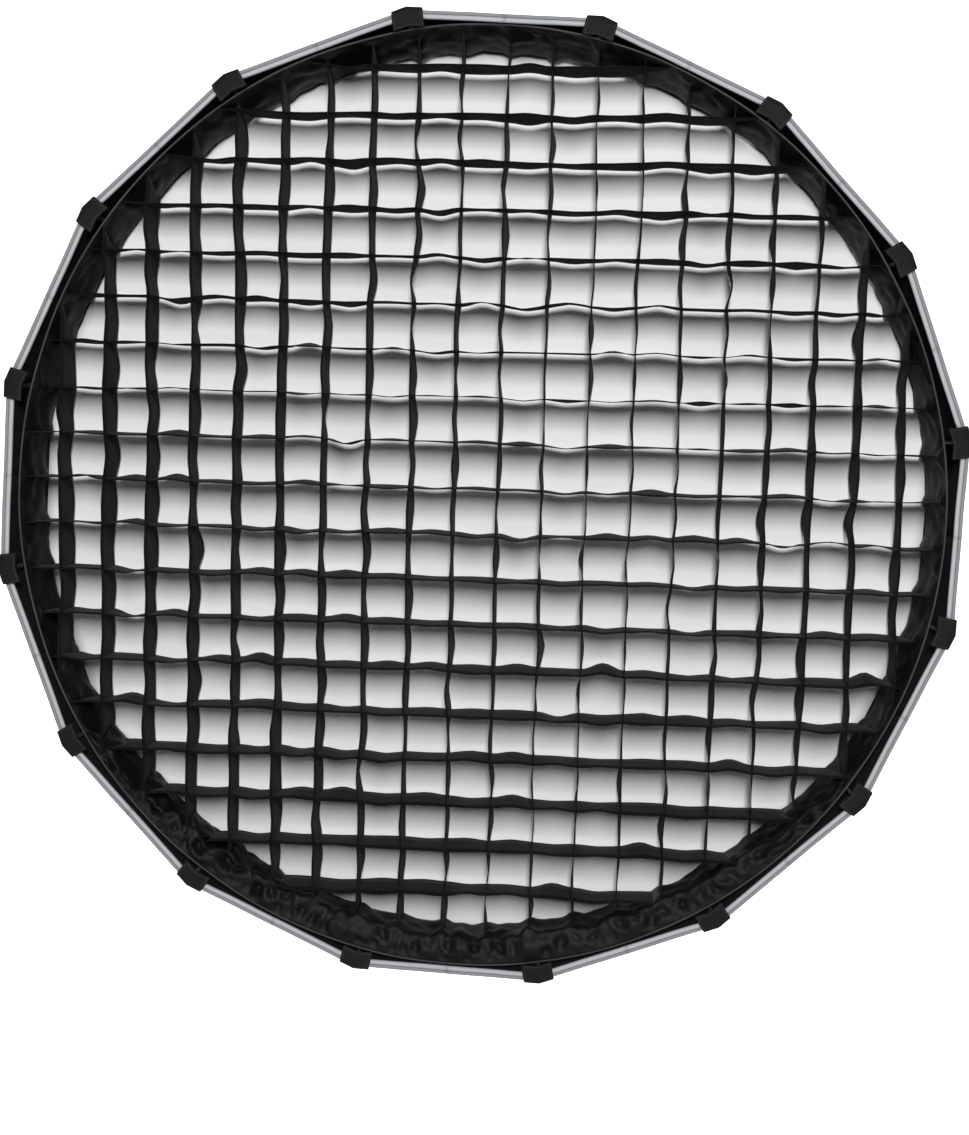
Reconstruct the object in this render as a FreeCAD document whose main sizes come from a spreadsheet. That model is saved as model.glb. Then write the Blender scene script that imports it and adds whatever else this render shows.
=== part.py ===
"""Sixteen-rod softbox with a fabric grid, built as an assembly.

Own frame: the origin is the centre of the mount plane, where the bayonet ring's flange
meets the light.  +Y points back to the light, -Y out of the front, +Z is up.

Every sub-part is drawn in a "forward" frame first: X is the distance from the axis,
Y the distance forward of the mount plane, Z runs along the rim.  forward_turn() then
turns it to its place in the part's own frame.
"""
import FreeCAD, Part
import math
import os
import re
import Sketcher

Vector = FreeCAD.Vector
Rotation = FreeCAD.Rotation
Placement = FreeCAD.Placement

# Driving dimensions in millimetres, angles in degrees, counts without a unit.
SIZES = {
    "rod_count": 16,
    "bore_radius": 45.0,            # clear way for the light
    "barrel_radius": 49.0,          # bearing that the hub turns on
    "flange_radius": 62.0,
    "flange_depth": 5.0,
    "barrel_end": 37.5,
    "spigot_length": 9.0,           # bayonet spigot behind the mount plane
    "lug_radius": 54.3,
    "lug_width": 16.0,
    "lug_depth": 3.0,
    "lug_count": 3,
    "keeper_radius": 57.0,          # retaining ring
    "keeper_depth": 3.2,
    "keeper_chamfer": 0.8,
    "running_fit": 0.08,
    "side_gap": 0.3,
    "overrun": 1.0,                 # how far a cutting tool runs past what it cuts
    "hub_rear": 5.3,
    "hub_floor": 9.0,
    "hub_front": 34.0,
    "hub_radius": 88.0,
    "hub_chamfer": 1.5,
    "cover_chamfer": 2.0,
    "web_radius": 66.0,             # inner face of the hub's outer ring
    "sleeve_radius": 51.6,
    "cover_face": 31.0,
    "slot_width": 8.4,
    "slot_floor_radius": 61.6,
    "hinge_radius": 78.0,
    "hinge_forward": 20.0,
    "pin_radius": 1.5,
    "pin_length": 18.4,
    "pin_gap": 0.02,
    "screw_count": 8,
    "screw_radius": 1.5,
    "screw_head_radius": 2.8,
    "screw_head_depth": 1.8,
    "screw_recess_floor": 0.6,
    "screw_fit": 0.1,
    "screw_floor": 12.0,
    "knuckle_width": 7.8,
    "knuckle_radius": 5.5,
    "heel_length": 19.0,
    "heel_depth": 3.0,
    "heel_tip_radius": 2.5,
    "heel_angle": 15.0,             # forward of straight in, with the rods open
    "socket_radius": 3.9,
    "socket_length": 44.0,
    "socket_relief": 1.0,           # the socket ends this far short of the rod's bend
    "rod_start": 24.0,
    "rod_radius": 2.25,
    "rod_fit": 0.05,
    "rod_end_gap": 0.2,             # room behind each end of a rod
    "rod_root_angle": 62.0,         # rod to axis, at the hub
    "rod_tip_angle": 10.0,          # rod to axis, at the rim
    "rod_tip_radius": 441.0,
    "rod_tip_forward": 551.0,
    "spreader_radius": 62.0,
    "spreader_floor": 56.0,
    "spreader_groove": 5.4,
    "spreader_flange": 2.4,
    "clip_count": 3,
    "clip_spacing": 5,              # in rods
    "clip_radius": 64.6,
    "clip_depth": 0.5,
    "clip_width": 6.0,
    "clip_bump": 1.5,
    "collar_depth": 1.0,
    "collar_gap": 0.7,
    "collar_outer": 119.0,
    "fabric_depth": 0.8,
    "fabric_gap": 0.35,
    "panel_gap": 0.25,
    "rim_forward": 556.0,           # front edge of the shell fabric
    "rim_radius": 450.0,            # across the corners of the rim, halved
    "tape_width": 7.0,
    "tape_depth": 3.0,
    "tape_end_gap": 1.0,
    "pocket_width": 28.0,
    "pocket_height": 18.0,
    "pocket_depth": 3.75,
    "pocket_round": 1.5,
    "pocket_proud": 1.0,            # beyond the rim's corner and in front of its tape
    "diffuser_radius": 427.0,
    "diffuser_forward": 495.5,      # rear face of the cloth
    "diffuser_depth": 1.5,
    "band_depth": 1.2,
    "band_length": 9.0,
    "grid_column_pitch": 41.0,
    "grid_row_pitch": 42.5,
    "grid_columns": 20,
    "grid_rows": 19,
    "grid_column_shift": -1.0,      # the strips' middle from the axis, across
    "grid_row_shift": 15.0,         # and up
    "grid_turn": 2.0,               # degrees, counter-clockwise seen from the front
    "grid_front": 550.0,
    "grid_depth": 44.0,
    "strip_depth": 0.8,
    "hem_depth": 1.2,
    "hem_rear_radius": 416.0,       # inner face of the hem at the strips' rear edges
    "hem_front_radius": 430.8,      # inner face of the hem at its front edge
    "hem_front": 552.0,
}

document = FreeCAD.newDocument("softbox")
sheet = document.addObject("Spreadsheet::Sheet", "Sizes")
for row, (word, value) in enumerate(SIZES.items(), start=1):
    sheet.set("A%d" % row, word)
    sheet.set("B%d" % row, str(value))
    sheet.setAlias("B%d" % row, word)
document.recompute()

finished = []                       # every sub-part, in the order of its file
ROUGH_CENTRE = Vector(60, 30, 0)    # where a sketch is first drawn, before it is constrained
ROUGH_RADIUS = 20.0

# Where the hem's inner face is level with the strips' front edges.
HEM_RADIUS_AT_GRID_FRONT = (
    "hem_rear_radius + (hem_front_radius - hem_rear_radius) * grid_depth"
    " / (hem_front - grid_front + grid_depth)"
)


def number(word):
    """The value of one cell."""
    return float(sheet.get(word))


def plain(formula):
    """A formula in the sheet's words, as an expression without a unit."""
    def qualified(match):
        word = match.group()
        return "Sizes." + word if word in SIZES else word
    return re.sub(r"[a-z][a-z_]*", qualified, formula)


def mm(formula):
    """A formula in the sheet's words, as an expression for a length."""
    return "(" + plain(formula) + ") * 1mm"


def bind(thing, **formulas):
    """Bind lengths of a document object to the sheet."""
    for name, formula in formulas.items():
        thing.setExpression(name, mm(formula))
    return thing


def forward_turn(angle=0.0):
    """From the forward frame to the part's own frame, with X turned to an angle from +X."""
    face_front = Placement(Vector(), Rotation(Vector(1, 0, 0), 180))
    return Placement(Vector(), Rotation(Vector(0, 1, 0), -angle)) * face_front


def rod_angle(index):
    """Angle of rod number index, clockwise from the corner left of the top."""
    step = 360.0 / number("rod_count")
    return 90.0 + step / 2 - step * index


def finish(thing, label, turn=None):
    """Name a finished sub-part and put it in its place."""
    thing.Label = label
    if turn is not None:
        thing.Placement = turn
    finished.append(thing)
    return thing


def group(name, members):
    together = document.addObject("Part::Compound", name)
    together.Links = members
    return together


def cut(name, base, tool):
    result = document.addObject("Part::Cut", name)
    result.Base = base
    result.Tool = tool
    return result


def fuse(name, members):
    result = document.addObject("Part::MultiFuse", name)
    result.Shapes = members
    return result


# --- sketches and features ---------------------------------------------------------

def new_body(name):
    return document.addObject("PartDesign::Body", name)


def plane_of(body, role):
    return [thing for thing in body.Origin.OriginFeatures if thing.Role == role][0]


def new_sketch(body, name, role="XY_Plane"):
    sketch = body.newObject("Sketcher::SketchObject", name)
    sketch.AttachmentSupport = [(plane_of(body, role), "")]
    sketch.MapMode = "FlatFace"
    return sketch


def fix_point(sketch, edge, point, across, along):
    """Tie one point of a sketch to two lengths from the sketch's origin."""
    for kind, formula in (("DistanceX", across), ("DistanceY", along)):
        index = sketch.addConstraint(Sketcher.Constraint(kind, -1, 1, edge, point, 1.0))
        sketch.setExpression("Constraints[%d]" % index, mm(formula))


def outline(sketch, corners):
    """A closed outline through corners, each a pair of formulas in the sheet's words."""
    count = len(corners)
    start = sketch.GeometryCount
    places = []
    for index in range(count):
        turn = 2 * math.pi * index / count
        places.append(ROUGH_CENTRE + Vector(math.cos(turn), math.sin(turn), 0) * ROUGH_RADIUS)
    for index in range(count):
        edge = Part.LineSegment(places[index], places[(index + 1) % count])
        sketch.addGeometry(edge, False)
    for index in range(count):
        following = start + (index + 1) % count
        joint = Sketcher.Constraint("Coincident", start + index, 2, following, 1)
        sketch.addConstraint(joint)
    for index, (across, along) in enumerate(corners):
        fix_point(sketch, start + index, 1, across, along)


def circle(sketch, across, along, radius):
    """A circle whose centre and radius are formulas in the sheet's words."""
    rough = Part.Circle(ROUGH_CENTRE, Vector(0, 0, 1), ROUGH_RADIUS)
    index = sketch.addGeometry(rough, False)
    fix_point(sketch, index, 3, across, along)
    fixed = sketch.addConstraint(Sketcher.Constraint("Radius", index, ROUGH_RADIUS))
    sketch.setExpression("Constraints[%d]" % fixed, mm(radius))


def revolve(body, corners):
    """Revolve an outline of (radius, forward) corners about the part's axis."""
    sketch = new_sketch(body, body.Name + "_profile")
    outline(sketch, corners)
    solid = body.newObject("PartDesign::Revolution", body.Name + "_revolution")
    solid.Profile = sketch
    solid.ReferenceAxis = (sketch, ["V_Axis"])
    solid.Angle = 360
    document.recompute()
    return solid


def pocket(body, name, sketch, depth, midplane=False):
    """Cut a sketch into the body, and make sure that it removed something."""
    before = body.Shape.Volume
    feature = body.newObject("PartDesign::Pocket", name)
    feature.Profile = sketch
    feature.Midplane = midplane
    feature.setExpression("Length", mm(depth))
    document.recompute()
    if feature.Shape.Volume >= before:
        raise RuntimeError(name + " cuts nothing")
    return feature


def repeat_round(body, name, features, count):
    """Repeat features about the part's axis."""
    pattern = body.newObject("PartDesign::PolarPattern", name)
    pattern.Originals = features
    pattern.Axis = (plane_axis(body), [""])
    pattern.Angle = 360
    pattern.setExpression("Occurrences", plain(count))
    body.Tip = pattern
    document.recompute()
    return pattern


def plane_axis(body):
    return [thing for thing in body.Origin.OriginFeatures if thing.Role == "Y_Axis"][0]


# --- bayonet mount and its retaining ring ------------------------------------------

def make_bayonet_mount():
    """Flange, barrel and rear spigot with three lugs, one turned and milled piece."""
    ring = new_body("mount_ring")
    revolve(ring, [
        ("bore_radius", "-spigot_length"),
        ("barrel_radius", "-spigot_length"),
        ("barrel_radius", "0"),
        ("flange_radius", "0"),
        ("flange_radius", "flange_depth"),
        ("barrel_radius", "flange_depth"),
        ("barrel_radius", "barrel_end"),
        ("bore_radius", "barrel_end"),
    ])
    lugs = []
    for index in range(int(number("lug_count"))):
        blank = bind(document.addObject("Part::Box", "lug_blank_%d" % index),
                     Length="lug_radius + overrun", Width="lug_depth", Height="lug_width")
        turn = Rotation(Vector(0, 1, 0), 90 + 360.0 * index / number("lug_count"))
        corner = Vector(0, -number("spigot_length"), -number("lug_width") / 2)
        blank.Placement = Placement(Vector(), turn) * Placement(corner, Rotation())
        lugs.append(blank)
    round_off = bind(document.addObject("Part::Cylinder", "lug_round"),
                     Radius="lug_radius", Height="lug_depth")
    along_y = Rotation(Vector(1, 0, 0), -90)
    round_off.Placement = Placement(Vector(0, -number("spigot_length"), 0), along_y)
    bore = bind(document.addObject("Part::Cylinder", "lug_bore"),
                Radius="bore_radius", Height="lug_depth + 2 * overrun")
    rear = -number("spigot_length") - number("overrun")
    bore.Placement = Placement(Vector(0, rear, 0), along_y)
    rounded = document.addObject("Part::Common", "lugs_rounded")
    rounded.Base = fuse("lug_blanks", lugs)
    rounded.Tool = round_off
    finish(fuse("mount", [ring, cut("lugs", rounded, bore)]), "bayonet_mount", forward_turn())


def make_retaining_ring():
    """Ring screwed to the front of the barrel, which keeps the hub on."""
    ring = new_body("keeper")
    revolve(ring, [
        ("barrel_radius + pin_gap", "barrel_end - keeper_depth"),
        ("keeper_radius", "barrel_end - keeper_depth"),
        ("keeper_radius", "barrel_end - keeper_chamfer"),
        ("keeper_radius - keeper_chamfer", "barrel_end"),
        ("barrel_radius + pin_gap", "barrel_end"),
    ])
    finish(ring, "retaining_ring", forward_turn())


# --- hub: two halves that clamp the hinge pins ------------------------------------

def cut_rod_slots(body, start, depth):
    """One slot for each rod's knuckle, open outwards and forwards."""
    sketch = new_sketch(body, body.Name + "_slot", "XZ_Plane")
    sketch.setExpression("AttachmentOffset.Base.z", mm("-(" + start + ")"))
    outline(sketch, [
        ("slot_floor_radius", "-slot_width / 2"),
        ("hub_radius + overrun", "-slot_width / 2"),
        ("hub_radius + overrun", "slot_width / 2"),
        ("slot_floor_radius", "slot_width / 2"),
    ])
    return pocket(body, body.Name + "_slot_cut", sketch, depth)


def cut_pin_seats(body):
    """Half of each hinge pin's round seat."""
    sketch = new_sketch(body, body.Name + "_pin_seat")
    circle(sketch, "hinge_radius", "hinge_forward", "pin_radius")
    return pocket(body, body.Name + "_pin_seat_cut", sketch, "pin_length", midplane=True)


def cut_screw_holes(body, start, depth, radius):
    """One clamping screw's hole, half way between two rods."""
    sketch = new_sketch(body, body.Name + "_screw_hole", "XZ_Plane")
    sketch.setExpression("AttachmentOffset.Base.z", mm("-(" + start + ")"))
    half_step = "cos(180 / rod_count * 1deg)", "sin(180 / rod_count * 1deg)"
    circle(sketch, "hinge_radius * " + half_step[0], "hinge_radius * " + half_step[1], radius)
    return pocket(body, body.Name + "_screw_hole_cut", sketch, depth)


def make_hub_body():
    """Rear half of the hub, with the sleeve that turns on the barrel."""
    hub = new_body("hub")
    revolve(hub, [
        ("barrel_radius + running_fit", "hub_rear"),
        ("hub_radius - hub_chamfer", "hub_rear"),
        ("hub_radius", "hub_rear + hub_chamfer"),
        ("hub_radius", "hinge_forward"),
        ("web_radius", "hinge_forward"),
        ("web_radius", "hub_floor"),
        ("sleeve_radius", "hub_floor"),
        ("sleeve_radius", "hub_front"),
        ("barrel_radius + running_fit", "hub_front"),
    ])
    slot = cut_rod_slots(hub, "hub_floor", "hub_front")
    seat = cut_pin_seats(hub)
    repeat_round(hub, "hub_slots", [slot, seat], "rod_count")
    hole = cut_screw_holes(hub, "screw_floor", "hub_front", "screw_radius")
    repeat_round(hub, "hub_holes", [hole], "screw_count")
    finish(hub, "hub_body", forward_turn(rod_angle(0)))


def make_hub_cover():
    """Front half of the hub, which holds the pins down and hides the spreader."""
    cover = new_body("cover")
    revolve(cover, [
        ("sleeve_radius + running_fit", "cover_face"),
        ("web_radius", "cover_face"),
        ("web_radius", "hinge_forward"),
        ("hub_radius", "hinge_forward"),
        ("hub_radius", "hub_front - cover_chamfer"),
        ("hub_radius - cover_chamfer", "hub_front"),
        ("sleeve_radius + running_fit", "hub_front"),
    ])
    slot = cut_rod_slots(cover, "hinge_forward - overrun", "hub_front")
    seat = cut_pin_seats(cover)
    repeat_round(cover, "cover_slots", [slot, seat], "rod_count")
    hole = cut_screw_holes(cover, "hinge_forward - overrun", "hub_front", "screw_radius + screw_fit")
    repeat_round(cover, "cover_holes", [hole], "screw_count")
    finish(cover, "hub_cover", forward_turn(rod_angle(0)))


def along_rim(angle, across, forward):
    """Placement that lays a cylinder's axis along the rim at an angle about the axis."""
    turn = Placement(Vector(), Rotation(Vector(0, 1, 0), -angle))
    return turn * Placement(Vector(across, forward, 0), Rotation())


def make_hinge_pins():
    pins = []
    for index in range(int(number("rod_count"))):
        pin = bind(document.addObject("Part::Cylinder", "pin_%02d" % (index + 1)),
                   Radius="pin_radius - pin_gap", Height="pin_length - 2 * pin_gap")
        middle = Placement(Vector(0, 0, number("pin_gap") - number("pin_length") / 2), Rotation())
        place = along_rim(rod_angle(index), number("hinge_radius"), number("hinge_forward"))
        pin.Placement = place * middle
        pins.append(pin)
    finish(group("pins", pins), "hinge_pins", forward_turn())


def make_hub_screws():
    """Eight screws that clamp the cover to the hub, with drilled heads."""
    screws = []
    along_y = Rotation(Vector(1, 0, 0), -90)
    for index in range(int(number("screw_count"))):
        name = "screw_%d_" % (index + 1)
        shank = bind(document.addObject("Part::Cylinder", name + "shank"),
                     Radius="screw_radius - pin_gap", Height="hub_front - screw_floor")
        head = bind(document.addObject("Part::Cylinder", name + "head"),
                    Radius="screw_head_radius", Height="screw_head_depth")
        recess = bind(document.addObject("Part::Prism", name + "recess"),
                      Circumradius="screw_radius", Height="screw_head_depth")
        recess.Polygon = 6
        angle = rod_angle(2 * index) - 180.0 / number("rod_count")
        across = number("hinge_radius")
        front = number("hub_front")
        recess_floor = front + number("screw_recess_floor")
        for piece, forward in ((shank, number("screw_floor")), (head, front), (recess, recess_floor)):
            turn = Placement(Vector(), Rotation(Vector(0, 1, 0), -angle))
            piece.Placement = turn * Placement(Vector(across, forward, 0), along_y)
        screws.append(cut(name + "whole", fuse(name + "blank", [shank, head]), recess))
    finish(group("screws", screws), "hub_screws", forward_turn())


# --- spreader and its clips --------------------------------------------------------

def make_spreader_ring():
    """Sliding ring whose groove holds every knuckle's heel."""
    middle = "hinge_forward + heel_length * sin(heel_angle * 1deg)"
    rear_lip = middle + " - spreader_groove / 2"
    front_lip = middle + " + spreader_groove / 2"
    ring = new_body("spreader")
    revolve(ring, [
        ("sleeve_radius + running_fit", rear_lip + " - spreader_flange"),
        ("spreader_radius", rear_lip + " - spreader_flange"),
        ("spreader_radius", rear_lip),
        ("spreader_floor", rear_lip),
        ("spreader_floor", front_lip),
        ("spreader_radius", front_lip),
        ("spreader_radius", front_lip + " + spreader_flange"),
        ("sleeve_radius + running_fit", front_lip + " + spreader_flange"),
    ])
    finish(ring, "spreader_ring", forward_turn())


def make_detent_clips():
    """Three leaf springs on the hub, whose bumps hold the spreader in its open place."""
    heel_drop = number("heel_length") * math.sin(math.radians(number("heel_angle")))
    spreader_half = number("spreader_groove") / 2 + number("spreader_flange")
    spreader_rear = number("hinge_forward") + heel_drop - spreader_half
    clips = []
    for index in range(int(number("clip_count"))):
        name = "clip_%d_" % (index + 1)
        leaf = bind(document.addObject("Part::Box", name + "leaf"),
                    Length="clip_depth", Height="clip_width",
                    Width="cover_face - hub_floor - 2 * side_gap")
        bump = bind(document.addObject("Part::Cylinder", name + "bump"),
                    Radius="clip_bump", Height="clip_width")
        step = 360.0 / number("rod_count")
        angle = rod_angle(1 + number("clip_spacing") * index) + step / 2
        turn = Placement(Vector(), Rotation(Vector(0, 1, 0), -angle))
        low = -number("clip_width") / 2
        base = number("hub_floor") + number("side_gap")
        leaf.Placement = turn * Placement(Vector(number("clip_radius"), base, low), Rotation())
        bump_forward = spreader_rear - number("side_gap") - number("clip_bump")
        across = number("clip_radius") - number("clip_bump") / 2
        bump.Placement = turn * Placement(Vector(across, bump_forward, low), Rotation())
        clips.append(fuse(name + "whole", [leaf, bump]))
    finish(group("clips", clips), "detent_clips", forward_turn())


# --- rods, knuckles and the shell that they carry ----------------------------------

def direction(angle):
    """Unit vector at an angle from the axis, in the plane of a rod."""
    turn = math.radians(angle)
    return Vector(math.sin(turn), math.cos(turn), 0)


def outward(angle):
    """Unit vector square to direction(angle), on the shell's outer side."""
    turn = math.radians(angle)
    return Vector(math.cos(turn), -math.sin(turn), 0)


def hinge_point():
    return Vector(number("hinge_radius"), number("hinge_forward"), 0)


def rod_line(gap=0.0):
    """Poles of the bent part of a rod, or of a line parallel to it at a gap outside."""
    root, tip = number("rod_root_angle"), number("rod_tip_angle")
    first = hinge_point() + direction(root) * number("socket_length") + outward(root) * gap
    last = Vector(number("rod_tip_radius"), number("rod_tip_forward"), 0) + outward(tip) * gap
    chord = last - first
    crossing = direction(root).cross(direction(tip)).z
    along = chord.cross(direction(tip)).z / crossing
    return [first, first + direction(root) * along, last]


def bend(poles):
    curve = Part.BezierCurve()
    curve.setPoles(poles)
    return curve.toShape()


def make_rod_master():
    """Glass-fibre rod: a straight root in its socket, then one long bend to the rim."""
    poles = rod_line()
    root = hinge_point() + direction(number("rod_root_angle")) * number("rod_start")
    path = document.addObject("Part::Feature", "rod_path")
    path.Shape = Part.Wire([Part.makeLine(root, poles[0]), bend(poles)])
    section = bind(document.addObject("Part::Circle", "rod_section"), Radius="rod_radius")
    facing = Rotation(Vector(0, 0, 1), direction(number("rod_root_angle")))
    section.Placement = Placement(root, facing)
    rod = document.addObject("Part::Sweep", "rod_master")
    rod.Sections = [section]
    rod.Spine = (path, ["Edge1", "Edge2"])
    rod.Solid = True
    rod.Frenet = False
    return rod


def make_knuckle_master():
    """Hinge barrel with a socket for the rod and a heel for the spreader's groove."""
    width = number("knuckle_width")
    hinge = hinge_point()
    low = Vector(0, 0, -width / 2)
    barrel = bind(document.addObject("Part::Cylinder", "knuckle_barrel"),
                  Radius="knuckle_radius", Height="knuckle_width")
    barrel.Placement = Placement(hinge + low, Rotation())
    heel = bind(document.addObject("Part::Box", "knuckle_heel"),
                Length="heel_length", Width="heel_depth", Height="knuckle_width")
    inward = Placement(hinge, Rotation(Vector(0, 0, 1), 180 - number("heel_angle")))
    heel.Placement = inward * Placement(Vector(0, -number("heel_depth") / 2, -width / 2), Rotation())
    heel_tip = bind(document.addObject("Part::Cylinder", "knuckle_heel_tip"),
                    Radius="heel_tip_radius", Height="knuckle_width")
    heel_tip.Placement = inward * Placement(Vector(number("heel_length"), 0, 0) + low, Rotation())
    out = direction(number("rod_root_angle"))
    along_rod = Rotation(Vector(0, 0, 1), out)
    socket = bind(document.addObject("Part::Cylinder", "knuckle_socket"),
                  Radius="socket_radius", Height="socket_length - socket_relief")
    socket.Placement = Placement(hinge, along_rod)
    rod_bore = bind(document.addObject("Part::Cylinder", "knuckle_rod_bore"),
                    Radius="rod_radius + rod_fit", Height="socket_length")
    bore_end = number("rod_start") - number("rod_end_gap")
    rod_bore.Placement = Placement(hinge + out * bore_end, along_rod)
    pin_bore = bind(document.addObject("Part::Cylinder", "knuckle_pin_bore"),
                    Radius="pin_radius - pin_gap + running_fit",
                    Height="knuckle_width + 2 * overrun")
    pin_bore.Placement = Placement(hinge + low - Vector(0, 0, number("overrun")), Rotation())
    blank = fuse("knuckle_blank", [barrel, heel, heel_tip, socket])
    return cut("knuckle_master", blank, group("knuckle_bores", [rod_bore, pin_bore]))


def half_step():
    return math.pi / number("rod_count")


def panel_section(side):
    """Closed edge of the shell in a rod's plane (side 0) or half way to the next rod."""
    inner_gap = number("rod_radius") + number("fabric_gap")
    outer_gap = inner_gap + number("fabric_depth")
    tip = number("rod_tip_angle")
    reach = (number("rim_forward") - number("rod_tip_forward")) / math.cos(math.radians(tip))

    def placed(point):
        if side == 0:
            return point
        cosine, sine = math.cos(half_step()), math.sin(half_step())
        gap = number("panel_gap")
        across = point.x * cosine * cosine + gap * sine
        along = point.x * cosine * sine - gap * cosine
        return Vector(across, point.y, side * along)

    inner = [placed(point) for point in rod_line(inner_gap)]
    outer = [placed(point) for point in rod_line(outer_gap)]
    inner_end = placed(rod_line(inner_gap)[2] + direction(tip) * reach)
    outer_end = placed(rod_line(outer_gap)[2] + direction(tip) * reach)
    return Part.Wire([
        bend(outer),
        Part.makeLine(outer[2], outer_end),
        Part.makeLine(outer_end, inner_end),
        Part.makeLine(inner_end, inner[2]),
        bend(list(reversed(inner))),
        Part.makeLine(inner[0], outer[0]),
    ])


def make_panel_master():
    """One rod's share of the shell: fabric, tip pocket and the tape along the rim.

    The fabric is flat from rod to rod, so each share is two halves that meet at the rod
    and end half way to the neighbours.  The pocket is the pad that closes it in front of
    the rod's tip.
    """
    fabric = document.addObject("Part::Feature", "panel_fabric")
    fabric.Shape = Part.makeLoft([panel_section(side) for side in (-1, 0, 1)], True, True)
    blank = bind(document.addObject("Part::Box", "pocket_blank"),
                 Length="pocket_height", Width="pocket_depth", Height="pocket_width")
    front = number("rim_forward") + number("tape_depth") + number("pocket_proud")
    corner = Vector(number("rim_radius") + number("pocket_proud") - number("pocket_height"),
                    front - number("pocket_depth"), -number("pocket_width") / 2)
    blank.Placement = Placement(corner, Rotation())
    tip_pocket = document.addObject("Part::Fillet", "tip_pocket")
    tip_pocket.Base = blank
    document.recompute()
    radius = number("pocket_round")
    tip_pocket.Edges = [(index + 1, radius, radius) for index in range(len(blank.Shape.Edges))]
    tapes = []
    pocket_share = "(pocket_width / 2 + tape_end_gap)"
    length = number("rim_radius") * math.sin(half_step())
    length -= number("pocket_width") / 2 + number("tape_end_gap")
    for side in (-1, 1):
        tape = bind(document.addObject("Part::Box", "rim_tape_%d" % (side + 2)),
                    Length="tape_width", Width="tape_depth",
                    Height="rim_radius * sin(180 / rod_count * 1deg) - " + pocket_share)
        across = number("rim_radius") * math.cos(half_step()) - number("tape_width")
        near_middle = number("panel_gap") if side < 0 else -number("panel_gap") - length
        turn = Placement(Vector(), Rotation(Vector(0, 1, 0), -side * math.degrees(half_step())))
        corner = Vector(across, number("rim_forward"), near_middle)
        tape.Placement = turn * Placement(corner, Rotation())
        tapes.append(tape)
    return group("panel_master", [fabric, tip_pocket] + tapes)


def make_rods_and_panels():
    """Sixteen alike: each rod with its knuckle and its share of the shell."""
    rod = make_rod_master()
    knuckle = make_knuckle_master()
    panel = make_panel_master()
    for index in range(int(number("rod_count"))):
        turn = forward_turn(rod_angle(index))
        for name, master in (("rod", rod), ("knuckle", knuckle), ("shell_panel", panel)):
            label = "%s_%02d" % (name, index + 1)
            finish(group(label, [master]), label, turn)


def make_rear_collar():
    """Elastic cloth collar that closes the gap between the hub and the shell."""
    slope = "tan((90 - rod_root_angle) * 1deg)"
    lift = "(socket_radius + collar_gap) / sin(rod_root_angle * 1deg)"
    inner = "hub_radius + side_gap"
    face = "hinge_forward - " + lift + " + (%s - hinge_radius) * " + slope
    collar = new_body("collar")
    revolve(collar, [
        (inner, face % ("(" + inner + ")")),
        (inner, face % ("(" + inner + ")") + " - collar_depth"),
        ("collar_outer", face % "collar_outer" + " - collar_depth"),
        ("collar_outer", face % "collar_outer"),
    ])
    finish(collar, "rear_collar", forward_turn())


# --- front diffuser and grid -------------------------------------------------------

def rim_prism(name, radius, start, length):
    """Sixteen-sided solid about the axis, with its corners in the rods' planes."""
    prism = bind(document.addObject("Part::Prism", name), Circumradius=radius, Height=length)
    prism.setExpression("Polygon", plain("rod_count"))
    along_y = Placement(Vector(0, start, 0), Rotation(Vector(1, 0, 0), -90))
    corner_turn = Placement(Vector(), Rotation(Vector(0, 0, 1), 180.0 / number("rod_count")))
    prism.Placement = along_y * corner_turn
    return prism


def make_front_diffuser():
    """White cloth with a hook-tape band that runs forward from its edge."""
    start = number("diffuser_forward")
    inner_radius = "diffuser_radius - band_depth"
    cloth = rim_prism("diffuser_cloth", inner_radius, start, "diffuser_depth")
    outer = rim_prism("band_outer", "diffuser_radius", start, "band_length")
    inner = rim_prism("band_inner", inner_radius, start - number("overrun"),
                      "band_length + 2 * overrun")
    band = cut("diffuser_band", outer, inner)
    finish(group("diffuser", [cloth, band]), "front_diffuser", forward_turn())


def strip_steps(count):
    """Places of equally spaced strips, in pitches from their middle."""
    return [index - (count - 1) / 2.0 for index in range(count)]


def make_grid_strips():
    """Egg-crate of cloth strips, sewn where they cross and cut to the hem's slope."""
    rear = number("grid_front") - number("grid_depth")
    front_radius = HEM_RADIUS_AT_GRID_FRONT + " - pin_gap"
    slope = bind(document.addObject("Part::Cone", "grid_outline"),
                 Radius1="hem_rear_radius - pin_gap", Radius2=front_radius, Height="grid_depth")
    slope.Placement = Placement(Vector(0, rear, 0), Rotation(Vector(1, 0, 0), -90))
    document.recompute()
    reach = slope.Radius2.Value
    depth = number("strip_depth")
    strips = []
    for kind in ("column", "row"):
        for index, step in enumerate(strip_steps(int(number("grid_%ss" % kind)))):
            away = "(%g * grid_%s_pitch + grid_%s_shift)" % (step, kind, kind)
            offset = step * number("grid_%s_pitch" % kind) + number("grid_%s_shift" % kind)
            half = "sqrt((" + front_radius + ") ^ 2 - " + away + " ^ 2)"
            strip = bind(document.addObject("Part::Box", "grid_%s_%02d" % (kind, index + 1)),
                         Length="strip_depth", Width="grid_depth", Height="2 * " + half)
            corner = Vector(offset - depth / 2, rear, -math.sqrt(reach ** 2 - offset ** 2))
            turn = Rotation(Vector(0, 1, 0), 0 if kind == "column" else 90)
            strip.Placement = Placement(Vector(), turn) * Placement(corner, Rotation())
            strips.append(strip)
    grid = document.addObject("Part::Common", "grid")
    grid.Base = fuse("grid_strips_long", strips)
    grid.Tool = slope
    finish(grid, "grid_strips", forward_turn(number("grid_turn")))


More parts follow.
